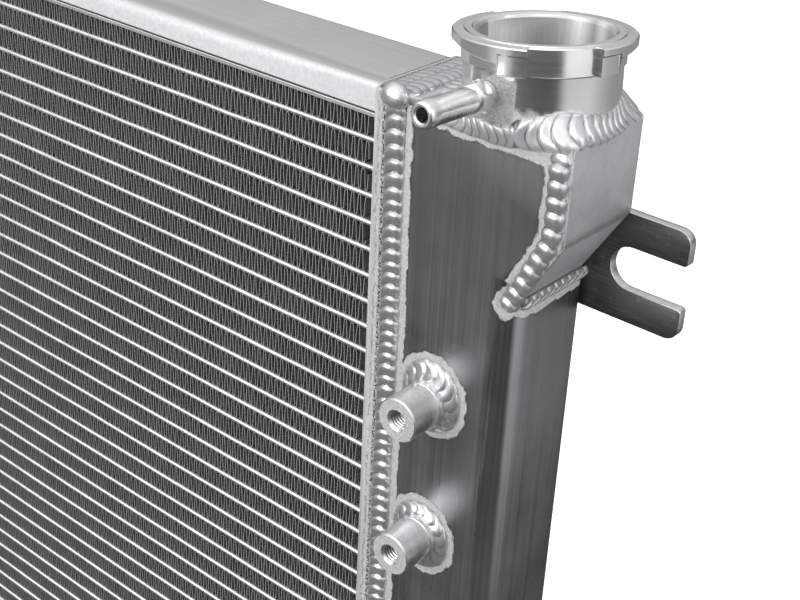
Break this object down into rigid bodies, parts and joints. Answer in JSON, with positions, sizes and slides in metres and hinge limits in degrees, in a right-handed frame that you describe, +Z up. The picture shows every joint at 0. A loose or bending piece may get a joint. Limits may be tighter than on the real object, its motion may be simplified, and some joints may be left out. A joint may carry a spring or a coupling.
{
  "type": "car radiator",
  "caption": "Welded aluminium cross-flow car radiator: tube-and-fin core, side tanks, open filler neck with overflow nipple, fork brackets, hose necks and a drain screw.",
  "frame": {"origin": "middle of the bottom rail's underside, at half the core's depth", "axes": "+X along the core towards the tank with the filler neck, +Y towards the back where the hose necks and brackets are, +Z up"},
  "size_m": [0.814, 0.1259, 0.5184],
  "materials": {
    "brushed_aluminium": "satin brushed sheet",
    "machined_aluminium": "bright turned",
    "weld_bead": "glossy rippled weld",
    "core_aluminium": "matte brazed",
    "bracket_aluminium": "mill finish plate with sheared edges",
    "brass": "turned",
    "rubber": "matte"
  },
  "bodies": {
    "radiator": {"bottom_rail": "brushed_aluminium", "bottom_side_plate": "core_aluminium", "core_matrix": "core_aluminium", "corner_box_back_weld": "weld_bead", "corner_box_foot_weld": "weld_bead", "corner_box_front_weld": "weld_bead", "corner_box_plate": "brushed_aluminium", "drain_bung": "machined_aluminium", "drain_bung_weld": "weld_bead", "filler_neck": "machined_aluminium", "filler_neck_weld": "weld_bead", "inlet_neck": "machined_aluminium", "inlet_neck_weld": "weld_bead", "left_bottom_plate": "brushed_aluminium", "left_fork_bracket": "bracket_aluminium", "left_fork_bracket_weld": "weld_bead", "left_header_plate": "brushed_aluminium", "left_header_weld": "weld_bead", "left_locating_pin": "machined_aluminium", "left_locating_pin_weld": "weld_bead", "left_lower_boss": "machined_aluminium", "left_lower_boss_weld": "weld_bead", "left_tank_shell": "brushed_aluminium", "left_top_plate": "brushed_aluminium", "left_upper_boss": "machined_aluminium", "left_upper_boss_weld": "weld_bead", "outlet_neck": "machined_aluminium", "outlet_neck_weld": "weld_bead", "overflow_nipple": "machined_aluminium", "right_bottom_plate": "brushed_aluminium", "right_fork_bracket": "bracket_aluminium", "right_fork_bracket_weld": "weld_bead", "right_header_plate": "brushed_aluminium", "right_header_weld": "weld_bead", "right_locating_pin": "machined_aluminium", "right_locating_pin_weld": "weld_bead", "right_lower_boss": "machined_aluminium", "right_lower_boss_weld": "weld_bead", "right_tank_shell": "brushed_aluminium", "right_top_plate": "brushed_aluminium", "right_upper_boss": "machined_aluminium", "right_upper_boss_weld": "weld_bead", "top_rail": "brushed_aluminium", "top_side_plate": "core_aluminium"},
    "drain_washer": {"drain_seal": "rubber"},
    "drain_screw": {"drain_stem": "brass"}
  },
  "joints": [
    {"name": "drain_travel", "type": "slide", "parent": "radiator", "child": "drain_washer", "axis": [0, 1, 0], "range_m": [0, 0.0031]},
    {"name": "drain_turn", "type": "hinge", "parent": "drain_washer", "child": "drain_screw", "pos_m": [-0.348, 0.0323, 0.034], "axis": [0, 1, 0], "range_deg": [0, 720]}
  ],
  "couplings": [
    {"joint": "drain_travel", "follows": "drain_turn", "m_per_rad": 0.00023873}
  ]
}
